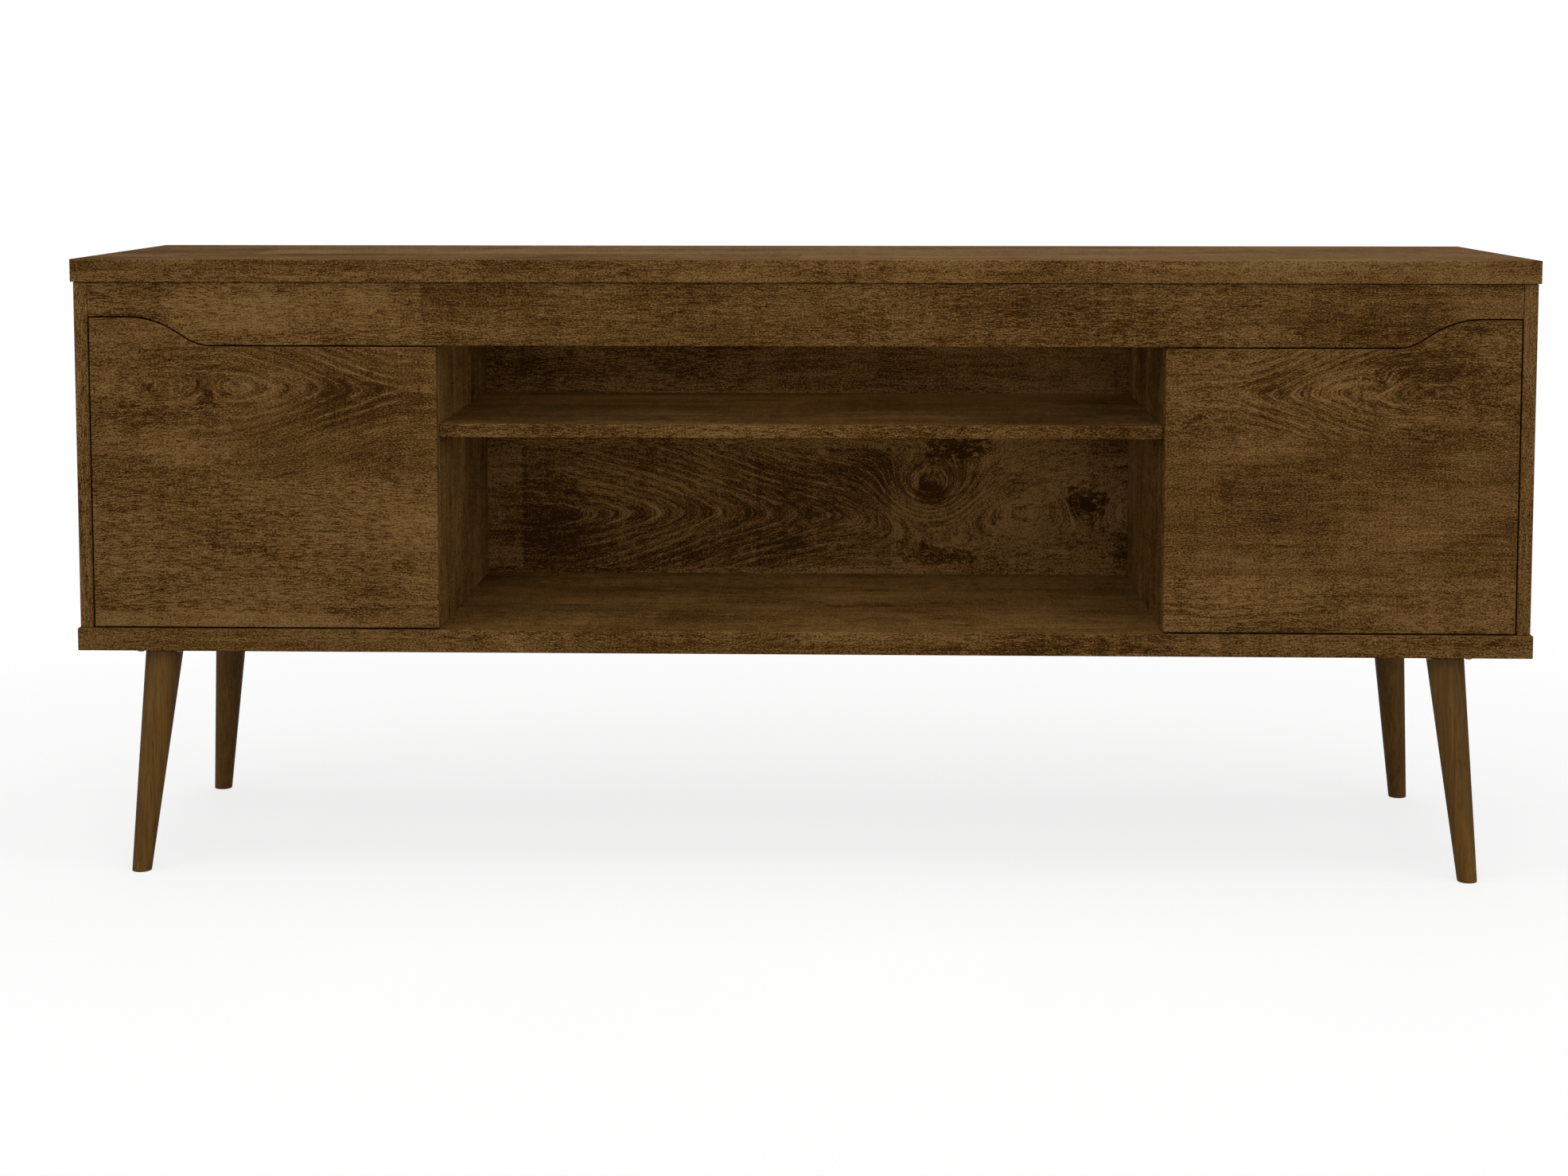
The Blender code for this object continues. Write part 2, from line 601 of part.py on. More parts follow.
def add_leg(name, frame):
    """A tapered leg cut level at its foot, the angled plate above it and the bolt that joins them."""
    axis_length = math.hypot(LEG_SPLAY_X, LEG_SPLAY_Y, LEG_HEIGHT)
    tilt = math.acos(LEG_HEIGHT / axis_length)
    plate_low = LEG_PLATE_THICKNESS + GAP
    seat = (plate_low + GAP) / math.cos(tilt) + LEG_TOP_RADIUS * math.tan(tilt)
    taper = (LEG_TOP_RADIUS - LEG_FOOT_RADIUS) / (axis_length - seat)
    past = LEG_TOP_RADIUS  # the cone runs on below the floor by this before it is cut
    end_radius = LEG_FOOT_RADIUS - taper * past
    cone = (rod, (0, 0, -seat), (0, 0, -axis_length - past), LEG_TOP_RADIUS, LEG_SIDES, end_radius)
    mesh = make_mesh(f"{name}_leg", cone, (level_cut, frame, 0, True))
    leg = add_part(f"{name}_leg", mesh, "leg_wood", frame, smooth=True)
    round_edges(leg, EDGE_ROUND)

    bolt_end = seat + LEG_BOLT_DEPTH
    thread = (rod, (0, 0, -plate_low), (0, 0, -bolt_end), LEG_BOLT_RADIUS, LEG_BOLT_SIDES)
    add_part(f"{name}_leg_bolt", make_mesh(f"{name}_leg_bolt", thread), "steel", frame, smooth=True)
    hole_shape = (rod, (0, 0, plate_low), (0, 0, -bolt_end - GAP), LEG_BOLT_RADIUS + GAP, LEG_BOLT_SIDES)
    hole = add_helper(f"{name}_leg_bolt_hole", hole_shape, frame=frame)
    cut(leg, hole)

    half = LEG_PLATE_SIZE / 2
    x, y, top = frame.translation
    corners = ((x - half, y - half, top - plate_low), (x + half, y + half, top - GAP))
    plate = board(f"{name}_leg_plate", *corners, "steel", HARDWARE_ROUND)
    above = LEG_BOSS_RADIUS  # the boss runs on above the plate by this before it is cut
    boss = (rod, (0, 0, above), (0, 0, GAP - seat), LEG_BOSS_RADIUS, LEG_BOSS_SIDES)
    plate_middle = top - GAP - LEG_PLATE_THICKNESS / 2
    helper = add_helper(f"{name}_leg_boss", boss, (level_cut, frame, plate_middle, False), frame=frame)
    join(plate, helper)
    cut(plate, hole)


def add_legs():
    for end, y_sign in ENDS:
        for side, x_sign in SIDES:
            add_leg(f"{end}_{side}", leg_frame(x_sign, y_sign))


clear_scene()
PARTS = new_collection(OBJECT_NAME)
HELPERS = new_collection(f"{OBJECT_NAME}_helpers")
MATERIALS = {
    "wood_print": new_material("wood_print", (0.105, 0.062, 0.040), 0.55),
    "back_board": new_material("back_board", (0.090, 0.055, 0.037), 0.60),
    "leg_wood": new_material("leg_wood", (0.110, 0.066, 0.034), 0.50),
    "dowel_wood": new_material("dowel_wood", (0.560, 0.400, 0.240), 0.70),
    "nickel": new_material("nickel", (0.600, 0.590, 0.570), 0.30, 1.0),
    "zinc": new_material("zinc", (0.480, 0.480, 0.490), 0.40, 1.0),
    "steel": new_material("steel", (0.350, 0.350, 0.360), 0.40, 1.0),
    "bumper": new_material("bumper", (0.700, 0.700, 0.680), 0.50),
}
CAM_BOLT_HOLES = {level: slab_bolt_holes(level) for level, _ in LEVELS}
add_slabs()
add_uprights()
add_backs()
add_apron()
add_shelf()
add_doors()
add_legs()
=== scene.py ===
"""Looks for the TV stand: rustic printed boards, stained legs, hinge metal, screws, cams and nails."""

import math

import bmesh
import bpy
from mathutils import Matrix, Vector


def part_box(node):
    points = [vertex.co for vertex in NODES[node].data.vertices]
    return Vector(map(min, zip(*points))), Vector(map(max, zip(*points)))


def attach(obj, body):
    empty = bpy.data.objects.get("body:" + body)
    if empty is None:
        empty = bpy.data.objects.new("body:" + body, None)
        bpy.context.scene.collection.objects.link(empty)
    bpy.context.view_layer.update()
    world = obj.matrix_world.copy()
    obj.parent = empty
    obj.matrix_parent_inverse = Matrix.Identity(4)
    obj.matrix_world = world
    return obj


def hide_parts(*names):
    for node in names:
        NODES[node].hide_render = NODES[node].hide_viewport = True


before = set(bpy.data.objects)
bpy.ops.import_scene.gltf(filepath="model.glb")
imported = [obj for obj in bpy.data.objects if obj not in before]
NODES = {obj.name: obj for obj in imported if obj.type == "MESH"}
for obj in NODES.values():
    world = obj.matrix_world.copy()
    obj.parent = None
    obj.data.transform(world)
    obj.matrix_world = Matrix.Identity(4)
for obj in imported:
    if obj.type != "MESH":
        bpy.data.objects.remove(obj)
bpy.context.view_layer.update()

# Camera, in metres and degrees
CAMERA_PLACE = (0.0652, -3.0295, 0.8102)
CAMERA_TURN = 1.752  # to its left
CAMERA_TILT = 4.914  # downwards
CAMERA_LENS = 59.88  # mm
CAMERA_SENSOR = 36  # mm across
CAMERA_SHIFT = (0.0026, -0.14)

# Hinges and leg plates: sizes that the frame's boxes don't give
HINGE_SHEET = 0.0025  # thickness of the hinge's arm and of its plate's wings
LEG_PLATE_SHEET = 0.002
ARM_GAP = 0.0003  # between the hinge's arm and its plate
CUP_SCREW_REACH = 0.024  # from the cup's middle to each of its screws
PLATE_SCREW_REACH = 0.016
ARM_SCREW_SHARES = (0.22, 0.78)  # along the hinge plate
LEG_SCREW_REACH = 0.0215  # from the plate's middle, both ways

# Cam fittings
CAM_RADIUS = 0.0075
CAM_RIM = 0.0008  # how far the rounding of the rim reaches
CAM_SINK = 0.0004  # depth of the ring round the recess
CAM_RECESS = 0.0028
BOLT_RADII = (0.0026, 0.0029, 0.0022)  # at the disc, along the shank and at the tip
BOLT_TAPERS = (0.0004, 0.0006)  # lengths of the tapers at its two ends
REAR_CAM_Y = 0.085

# Screws: radius of the head and how far it rises
CUP_SCREW = (0.0036, 0.0011)
PLATE_SCREW = (0.0036, 0.0014)
ARM_SCREW = (0.0030, 0.0010)
LEG_SCREW = (0.0042, 0.0018)
SHANK_LENGTH = 0.008
RECESS_TAPER = 0.75
SCREW_TURN = 1.1  # so that neighbouring recesses point different ways

# Nails in the back panels
NAIL_SPACING = 0.12
NAIL_INSET = 0.0038  # from the panel's end
NAIL_FROM_END = 0.020  # from the panel's top and bottom
NAIL_PROFILE = (
    (0.0009, -0.0020),
    (0.0009, 0.0),
    (0.0026, 0.0),
    (0.0028, 0.0003),
    (0.0022, 0.0008),
    (0.0012, 0.0010),
)

# Roundness of the turned pieces
SCREW_SIDES = 20
CAM_SIDES = 32
BOLT_SIDES = 16
NAIL_SIDES = 12
SHARP_ANGLE = math.radians(35)

# Planks of the boards' print
PLANK_HEIGHT = 0.150
PLANK_LENGTH = 0.46
ROW_SHIFT = 0.37  # of a plank's length, from one row to the next

# Layers of noise in the boards' print: cells a metre along the grain and across it, place in the noise,
# detail and roughness
LONG_SWAY = (2.4, 4.0, 0.0, 2.0, 0.5)
SHORT_SWAY = (13.0, 26.0, 3.1, 3.0, 0.5)
FIGURED = (4.0, 9.0, 43.0, 1.0, 0.5)
RAGGED_ENDS = (60.0, 260.0, 0.0, 3.0, 0.5)
RAGGED_SIDES = (60.0, 120.0, 1.0, 3.0, 0.5)
CLOUD = (5.0, 12.0, 11.0, 5.0, 0.62)
SMUDGE = (9.0, 21.0, 13.0, 6.0, 0.75)
BARS = (46.0, 7.0, 17.0, 3.0, 0.75)
BANDS = (3.0, 75.0, 23.0, 3.0, 0.6)
STREAKS = (14.0, 190.0, 29.0, 3.0, 0.65)
CRINKLE = (190.0, 240.0, 31.0, 2.0, 0.5)
RIPPLE = (80.0, 650.0, 37.0, 2.0, 0.5)
STRAND = (34.0, 230.0, 39.0, 3.0, 0.6)
WEAVE = (560.0, 90.0, 41.0, 2.0, 0.5)
SPECK = (430.0, 900.0, 47.0, 2.0, 0.5)
WOBBLE = (5.0, 30.0, 53.0, 3.0, 0.5)
STRENGTH = (16.0, 70.0, 55.0, 2.0, 0.5)
CRACK = (6.0, 34.0, 59.0, 2.0, 0.5)
CRACKED = (9.0, 14.0, 61.0, 2.0, 0.5)
BLOT_ENDS = (50.0, 50.0, 67.0, 4.0, 0.5)
BLOT_SIDES = (30.0, 90.0, 71.0, 4.0, 0.5)
CHIPS = (85.0, 170.0, 73.0, 4.0, 0.7)
LINE_RATE = 690.0  # growth lines: radians a metre of the figured field

# The print's tone runs from 0, dark, to 1, pale: its mean, and how much each layer changes it
MEAN_TONE = 0.58
TONE_SHARES = {
    "plank": 0.24,
    "cloud": 1.20,
    "bars": 0.30,
    "bands": 0.45,
    "streaks": 0.65,
    "weave": 0.32,
    "speck": 2.50,
}
SMUDGE_TONE = -0.30
RIPPLE_TONES = (0.24, 0.52)  # on the calmest and the most rippled planks
STRAND_TONES = (-0.20, -0.42)
LINE_TONE = 0.27
VALLEY_TONE = -0.15
CRACK_TONE = -0.45
HEART_TONE = -0.5
PRINT_DEPTH = 0.0001

# Floor: a disc that fades out around the stand, so that the white behind it shows
FLOOR_RADIUS = 4.0
FLOOR_DROP = 0.0005  # below the feet
FLOOR_SHARE = 0.22  # how much it covers under the stand
FLOOR_FADE = (0.45, 1.6)  # where it starts to fade out, and where it is gone
FLOOR_STRETCH = 0.45  # makes the fading oval longer in x

# Light
SKY_LIGHT = 0.2
LIGHT_TARGET = (0, 0, 0.42)
SOFTBOXES = {  # place, size and watts
    "overhead_softbox": ((0, -0.4, 3.2), (4.0, 2.4), 82),
    "low_front_softbox": ((0.3, -4.2, 1.05), (3.0, 1.2), 28),
    "high_front_softbox": ((0, -3.4, 2.9), (3.5, 1.6), 43),
    "left_softbox": ((-3.6, -2.7, 1.4), (2.2, 2.0), 46),
    "right_softbox": ((3.6, -2.7, 1.4), (2.2, 2.0), 46),
    "rear_softbox": ((0, 4.0, 2.4), (4.0, 2.0), 45),
}
FILL_COLOUR = (1.0, 0.92, 0.76)
FILL_DROP = 0.004  # below the niche's ceilings
FILL_SHARES = (0.96, 0.9)  # of the niche's width and depth
UPPER_FILL_WATTS = 0.54
LOWER_FILL_WATTS = 0.52

SIDES = (("left", -1), ("right", 1))
LEVELS = ("lower", "upper")
ENDS = ("front", "rear")


# Node graphs


class Graph:
    """Adds nodes to a material. An input is a number, a tuple or another node's output."""

    def __init__(self, name):
        self.material = bpy.data.materials.new(name)
        self.material.use_nodes = True
        self.tree = self.material.node_tree
        self.shader = self.tree.nodes["Principled BSDF"]

    def fill(self, node, inputs):
        for name, value in inputs.items():
            if isinstance(value, bpy.types.NodeSocket):
                self.tree.links.new(value, node.inputs[name])
            else:
                node.inputs[name].default_value = value

    def node(self, kind, inputs, output=0, **settings):
        node = self.tree.nodes.new(kind)
        for name, value in settings.items():
            setattr(node, name, value)
        self.fill(node, inputs)
        return node.outputs[output]

    def math(self, operation, *values):
        return self.node("ShaderNodeMath", dict(enumerate(values)), operation=operation)

    def add(self, first, *rest):
        for value in rest:
            first = self.math("ADD", first, value)
        return first

    def times(self, first, *rest):
        for value in rest:
            first = self.math("MULTIPLY", first, value)
        return first

    def less(self, first, second):
        return self.math("SUBTRACT", first, second)

    def fade(self, value, start, end, low=0.0, high=1.0):
        """Smoothly from low at start to high at end."""
        ends = {"Value": value, "From Min": start, "From Max": end, "To Min": low, "To Max": high}
        return self.node("ShaderNodeMapRange", ends, interpolation_type="SMOOTHSTEP")

    def noise(self, x, y, z, detail=2.0, roughness=0.5):
        place = self.node("ShaderNodeCombineXYZ", {"X": x, "Y": y, "Z": z})
        settings = {"Vector": place, "Scale": 1.0, "Detail": detail, "Roughness": roughness}
        return self.node("ShaderNodeTexNoise", settings)

    def layer(self, recipe, along, across, seed):
        """One layer of the print's noise."""
        cells_along, cells_across, step, detail, roughness = recipe
        place = self.times(along, cells_along), self.times(across, cells_across), seed + step
        return self.noise(*place, detail, roughness)

    def about(self, noise, size):
        """The noise's swing about its middle, to this size."""
        return self.times(self.less(noise, 0.5), size)

    def cells(self, place, *rates):
        """x, y and z in cells of noise, from how many of them a metre has each way."""
        return [self.times(value, rate) for value, rate in zip(place, rates)]

    def ramp(self, value, *stops):
        node = self.tree.nodes.new("ShaderNodeValToRGB")
        elements = node.color_ramp.elements
        while len(elements) < len(stops):
            elements.new(0.5)
        for element, (position, colour) in zip(elements, stops):
            element.position = position
            element.color = (*colour, 1)
        self.fill(node, {0: value})
        return node.outputs[0]

    def mix(self, share, first, second):
        """A colour between the first, at share 0, and the second."""
        inputs = {0: share, 6: first, 7: second}
        return self.node("ShaderNodeMix", inputs, 2, data_type="RGBA", clamp_factor=True)

    def split(self, kind, value):
        """The three parts of a vector or a colour."""
        node = self.tree.nodes.new(kind)
        self.fill(node, {0: value})
        return list(node.outputs)

    def place(self):
        """x, y and z of the point, in the frame's metres at rest."""
        return self.split("ShaderNodeSeparateXYZ", self.node("ShaderNodeTexCoord", {}, "Object"))

    def finish(self, colour, roughness, height, bump, **constants):
        """Links the surface; bump is how far height 1 stands above height 0, in metres."""
        normal = self.node("ShaderNodeBump", {"Height": height, "Distance": bump, "Strength": 1.0})
        self.fill(self.shader, {"Base Color": colour, "Roughness": roughness, "Normal": normal})
        self.fill(self.shader, {name.replace("_", " "): value for name, value in constants.items()})
        return self.material


# Materials


def srgb(*values):
    """A colour given in 0 to 255 steps, as linear light."""
    return tuple(((v / 255 + 0.055) / 1.055) ** 2.4 if v > 10 else v / 255 / 12.92 for v in values)


PRINT_COLOURS = (  # by tone
    (0.02, srgb(44, 23, 1)),
    (0.27, srgb(71, 46, 12)),
    (0.50, srgb(90, 62, 27)),
    (0.74, srgb(106, 78, 42)),
    (1.0, srgb(121, 92, 54)),
)


def bell(g, along, across, place, wide, high):
    """1 at the place, falling smoothly to 0 around it."""
    du = g.times(g.less(along, place[0]), 1 / wide)
    dv = g.times(g.less(across, place[1]), 1 / high)
    return g.math("EXPONENT", g.times(g.add(g.times(du, du), g.times(dv, dv)), -1))


def figured_field(g, along, across, seed, held, flame, knots):
    """A height whose level lines are the growth lines: straight, round at knots, and a flame where held.

    Also how much the lines show there, from 0 to 1, and how near the point is to a knot's heart.
    """
    across = g.add(
        across,
        g.about(g.layer(LONG_SWAY, along, across, seed), 0.030),
        g.about(g.layer(SHORT_SWAY, along, across, seed), 0.008),
    )
    shown = g.fade(g.layer(FIGURED, along, across, seed), 0.54, 0.72, 0.0, 0.6)
    field, heart = across, 0.0
    if flame:
        start, end, level, rise, tip, wide_across = flame
        offset = g.less(across, level)
        bend = g.math("SQRT", g.add(g.times(offset, offset), tip * tip))
        folded = g.add(bend, g.fade(along, start, end, 0.0, rise))
        field = g.add(across, g.times(held, g.less(folded, across)))
        reach = bell(g, along, across, ((start + end) / 2, level), abs(end - start) * 0.65, wide_across)
        shown = g.math("MAXIMUM", shown, g.times(held, g.fade(reach, 0.20, 0.70)))
    for place, size, strength in knots:
        near = bell(g, along, across, place, size * 1.5, size)
        field = g.add(field, g.times(near, strength * size))
        shown = g.math("MAXIMUM", shown, g.fade(near, 0.1, 0.5))
        heart = g.add(heart, g.fade(near, 0.86, 0.97))
    return field, shown, heart


def planks(g, along, across, seed, edge):
    """Whether the point is on the row of planks above edge, and three random numbers for its plank."""
    ragged_along = g.add(along, g.about(g.layer(RAGGED_ENDS, along, across, seed), 0.016))
    ragged_across = g.add(across, g.about(g.layer(RAGGED_SIDES, along, across, seed), 0.008))
    row = g.math("FLOOR", g.times(g.less(ragged_across, edge[1]), 1 / PLANK_HEIGHT))
    lengths = g.times(g.less(ragged_along, edge[0]), 1 / PLANK_LENGTH)
    column = g.math("FLOOR", g.add(lengths, g.times(row, ROW_SHIFT)))
    place = g.node("ShaderNodeCombineXYZ", {"X": row, "Y": column, "Z": seed})
    chance = g.node("ShaderNodeTexWhiteNoise", {"Vector": place}, output=1)
    held = g.less(1.0, g.math("MINIMUM", g.math("ABSOLUTE", row), 1.0))
    return held, *g.split("ShaderNodeSeparateColor", chance)


def growth_lines(g, along, field, shown, seed):
    """Light lines along the field's level lines, and the dark valleys between them."""
    wobble = g.about(g.layer(WOBBLE, along, field, seed), 0.012)
    wave = g.math("SINE", g.times(g.add(field, wobble), LINE_RATE))
    strength = g.fade(g.layer(STRENGTH, along, field, seed), 0.42, 0.62, 0.1, 1.0)
    return g.times(g.fade(wave, 0.66, 0.95), strength, shown), g.times(g.fade(wave, 0.3, -0.9), shown)


def cracks(g, along, across, field, seed):
    near = g.math("ABSOLUTE", g.less(g.layer(CRACK, along, field, seed), 0.5))
    cracked = g.fade(g.layer(CRACKED, along, across, seed), 0.60, 0.68)
    return g.times(g.fade(near, 0.010, 0.002), cracked)


def blot_tones(g, along, across, seed, blots):
    """Ragged patches. Each is (place, width, height, tone)."""
    ragged = g.add(along, g.about(g.layer(BLOT_ENDS, along, across, seed), 0.05))
    torn = g.add(across, g.about(g.layer(BLOT_SIDES, along, across, seed), 0.03))
    broken = g.fade(g.layer(CHIPS, along, across, seed), 0.38, 0.55, 0.25, 1.1)
    tones = []
    for place, wide, high, change in blots:
        reach = g.times(bell(g, ragged, torn, place, wide, high), broken)
        tones.append(g.times(g.fade(reach, 0.20, 0.65), change))
    return tones


def rustic_print(
    name, grain, face, seed, edge, flame=None, knots=(), blots=(), contrast=1.0, raw_back=False
):
    """The boards' printed wood. Grain runs along x or z, and face is the y or x of the main face.

    Places on the board are (along, across) pairs.
    """
    g = Graph(name)
    x, y, z = g.place()
    along, across = (x, g.add(z, g.less(y, face))) if grain == "x" else (z, g.add(y, g.less(x, face)))
    held, plank, rippled, curly = planks(g, along, across, seed, edge)
    field, shown, heart = figured_field(g, along, across, seed, held, flame, knots)

    cloud = g.layer(CLOUD, along, across, seed)
    smudge = g.fade(g.layer(SMUDGE, along, across, seed), 0.54, 0.70)
    crinkle = g.less(g.layer(CRINKLE, along, across, seed), 0.5)
    curl = g.fade(g.add(curly, g.about(cloud, 1.2)), 0.42, 0.62, 0.0010, 0.0065)
    fine = g.add(field, g.times(crinkle, curl, g.less(1.0, g.times(shown, 0.8))))
    ripples = g.fade(g.layer(RIPPLE, along, fine, seed), 0.30, 0.70)
    strand_height = g.layer(STRAND, along, fine, seed)
    strand = g.fade(g.math("ABSOLUTE", g.less(strand_height, 0.5)), 0.036, 0.0)
    line, valley = growth_lines(g, along, field, shown, seed)
    crack = cracks(g, along, across, field, seed)

    layers = {
        "plank": plank,
        "cloud": cloud,
        "bars": g.layer(BARS, along, across, seed),
        "bands": g.layer(BANDS, along, field, seed),
        "streaks": g.layer(STREAKS, along, field, seed),
        "weave": g.layer(WEAVE, along, across, seed),
        "speck": g.layer(SPECK, along, across, seed),
    }
    parts = [g.about(layers[kind], share) for kind, share in TONE_SHARES.items()]
    parts += [
        g.times(smudge, SMUDGE_TONE),
        g.times(g.less(ripples, 0.55), g.fade(rippled, 0.1, 0.9, *RIPPLE_TONES)),
        g.times(strand, g.fade(rippled, 0.0, 1.0, *STRAND_TONES)),
        g.times(line, LINE_TONE),
        g.times(valley, VALLEY_TONE),
        g.times(crack, CRACK_TONE),
        g.times(heart, HEART_TONE),
        *blot_tones(g, along, across, seed, blots),
    ]
    tone = g.add(g.times(g.add(*parts), contrast), MEAN_TONE)
    colour = g.ramp(tone, *PRINT_COLOURS)
    roughness = g.fade(tone, 0.0, 1.0, 0.70, 0.52)
    height = g.add(g.times(ripples, 0.6), g.times(line, 0.4), g.times(crack, -0.8))
    if raw_back:
        colour, roughness = hardboard_rear(g, colour, x, z)
    return g.finish(colour, roughness, height, PRINT_DEPTH, Specular_IOR_Level=0.05)


def hardboard_rear(g, colour, x, z):
    """Bare pressed fibres on the faces that look to the rear, and the roughness of both sides."""
    _, rearwards, _ = g.split("ShaderNodeSeparateXYZ", g.node("ShaderNodeTexCoord", {}, "Normal"))
    rear = g.fade(rearwards, 0.45, 0.55)
    fibres = g.noise(g.times(x, 420.0), g.times(z, 420.0), 3.0, detail=4.0, roughness=0.7)
    clouds = g.noise(g.times(x, 9.0), g.times(z, 9.0), 5.0, detail=3.0)
    tone = g.add(g.times(fibres, 0.7), g.times(clouds, 0.3))
    board = g.ramp(tone, (0.30, srgb(92, 62, 38)), (0.5, srgb(124, 88, 56)), (0.7, srgb(150, 112, 76)))
    return g.mix(rear, colour, board), g.fade(rear, 0.0, 1.0, 0.60, 0.82)


def stained_leg():
    """Dark satin stain over fine straight grain."""
    g = Graph("leg_stain")
    place = g.place()
    fibres = g.noise(*g.cells(place, 420.0, 420.0, 7.0), detail=3.0, roughness=0.6)
    bands = g.noise(*g.cells(place, 60.0, 60.0, 2.5), detail=2.0)
    pore = g.fade(g.noise(*g.cells(place, 1100.0, 1100.0, 40.0), detail=1.0), 0.40, 0.30)
    tone = g.add(g.times(fibres, 0.55), g.times(bands, 0.45), g.times(pore, -0.12))
    colour = g.ramp(tone, (0.30, srgb(66, 42, 9)), (0.50, srgb(92, 63, 21)), (0.70, srgb(110, 79, 31)))
    roughness = g.fade(fibres, 0.3, 0.7, 0.46, 0.36)
    return g.finish(colour, roughness, g.times(pore, -1), 0.00006, Specular_IOR_Level=0.15)


def metal(name, dark, light, roughness, brushed=1.0):
    """Plated or cast metal; brushed is how much finer its marks are across than along."""
    g = Graph(name)
    place = g.place()
    marks = g.noise(*g.cells(place, 900.0, 900.0, 900.0 / brushed), detail=3.0)
    stains = g.noise(*g.cells(place, 60.0, 60.0, 60.0), detail=3.0, roughness=0.6)
    colour = g.ramp(g.add(g.times(stains, 0.7), g.times(marks, 0.3)), (0.35, dark), (0.65, light))
    wear = g.add(g.times(marks, 0.5), g.times(stains, 0.5))
    rough = g.fade(wear, 0.35, 0.65, roughness * 0.85, roughness * 1.2)
    return g.finish(colour, rough, marks, 0.00001, Metallic=1.0)


def bare_dowel():
    g = Graph("beech_dowel")
    grain = g.noise(*g.cells(g.place(), 60.0, 900.0, 900.0), detail=3.0)
    colour = g.ramp(grain, (0.35, srgb(172, 128, 84)), (0.65, srgb(214, 174, 124)))
    return g.finish(colour, g.fade(grain, 0.3, 0.7, 0.7, 0.6), grain, 0.00005)


def soft_bumper():
    g = Graph("bumper_rubber")
    cloud = g.noise(*g.cells(g.place(), 400.0, 400.0, 400.0), detail=3.0)
    colour = g.ramp(cloud, (0.3, srgb(168, 166, 158)), (0.7, srgb(200, 198, 190)))
    return g.finish(colour, g.fade(cloud, 0.3, 0.7, 0.55, 0.42), cloud, 0.00002)


def paint(node, material):
    slots = NODES[node].data.materials
    slots.clear()
    slots.append(material)


def within(node, across, up):
    """The point of a node's box at these shares of its width and height, as x and z."""
    low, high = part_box(node)
    return low.x + (high.x - low.x) * across, low.z + (high.z - low.z) * up


def paint_board(name, seed, grain="x", edge=(0.5, 0.5), flame=None, knots=(), blots=(), **settings):
    """Prints one board. Its figures' places are shares of the board's width and height.

    A flame is where it starts, its tip's place, its rise, the bluntness of its tip and its reach across.
    A knot is its place, size and strength. A blot is its place, width, height and change of tone.
    """
    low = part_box(name)[0]
    corner = within(name, *edge)
    if flame:
        start, end, level, *shape = flame
        flame = (within(name, start, level)[0], *within(name, end, level), *shape)
    material = rustic_print(
        f"{name}_print",
        grain,
        low.y if grain == "x" else low.x,
        seed,
        corner if grain == "x" else corner[::-1],
        flame,
        [(within(name, across, up), size, strength) for across, up, size, strength in knots],
        [(within(name, across, up), *shape) for across, up, *shape in blots],
        **settings,
    )
    paint(name, material)


def paint_boards():
    paint_board("top_panel", 2.0)
    paint_board(
        "bottom_panel", 41.0,
        blots=(
            (0.62, 0.0, 0.120, 0.010, -0.30), (0.70, 0.5, 0.090, 0.010, -0.22),
            (0.30, 0.5, 0.110, 0.014, 0.12),
        ),
    )
    paint_board(
        "centre_shelf", 57.0,
        blots=((0.66, 0.5, 0.070, 0.012, -0.24), (0.93, 0.5, 0.040, 0.014, -0.20)),
    )
    paint_board(
        "front_apron", 88.0, edge=(0.235, 0.0),
        blots=(
            (0.03, 0.40, 0.035, 0.010, -0.30), (0.10, 0.60, 0.090, 0.030, 0.16),
            (0.90, 0.50, 0.10, 0.040, -0.16),
        ),
    )
    for side, sign in SIDES:
        paint_board(f"{side}_side_panel", 5.0 + 10 * sign, grain="z")
        paint_board(f"{side}_divider", 6.0 + 10 * sign, grain="z", contrast=1.7)
        paint_board(f"{side}_back_panel", 14.0 + sign, raw_back=True)
    paint_board(
        "left_door", 7.0, edge=(0.41, 0.485),
        flame=(0.36, 0.92, 0.775, 0.060, 0.006, 0.060),
        knots=((0.90, 0.885, 0.004, 0.8), (0.09, 0.705, 0.005, 0.8), (0.34, 0.76, 0.014, 0.9)),
        blots=(
            (0.50, 0.79, 0.050, 0.020, 0.20), (0.76, 0.775, 0.050, 0.016, -0.26),
            (0.22, 0.68, 0.070, 0.016, -0.22),
        ),
    )
    paint_board(
        "right_door", 9.0, edge=(0.60, 0.62),
        flame=(0.72, 0.16, 0.775, 0.060, 0.006, 0.060),
        knots=((0.10, 0.70, 0.005, 0.8), (0.92, 0.84, 0.005, 0.8), (0.61, 0.80, 0.014, 0.9)),
        blots=(
            (0.48, 0.79, 0.060, 0.024, 0.20), (0.32, 0.80, 0.050, 0.016, -0.24),
            (0.74, 0.86, 0.060, 0.020, -0.22),
        ),
    )
    paint_board(
        "centre_back_panel", 21.0, edge=(0.63, 0.02), contrast=1.28, raw_back=True,
        flame=(0.10, 0.58, 0.20, 0.090, 0.014, 0.100),
        knots=((0.69, 0.27, 0.044, 1.7), (0.93, 0.21, 0.022, 1.2)),
        blots=(
            (0.73, 0.42, 0.045, 0.022, -0.55), (0.93, 0.24, 0.030, 0.020, -0.55),
            (0.985, 0.08, 0.020, 0.030, -0.30), (0.08, 0.20, 0.070, 0.060, -0.20),
            (0.70, 0.06, 0.060, 0.012, -0.45), (0.84, 0.15, 0.060, 0.050, 0.16),
            (0.30, 0.78, 0.110, 0.030, -0.18), (0.88, 0.80, 0.050, 0.030, -0.35),
        ),
    )


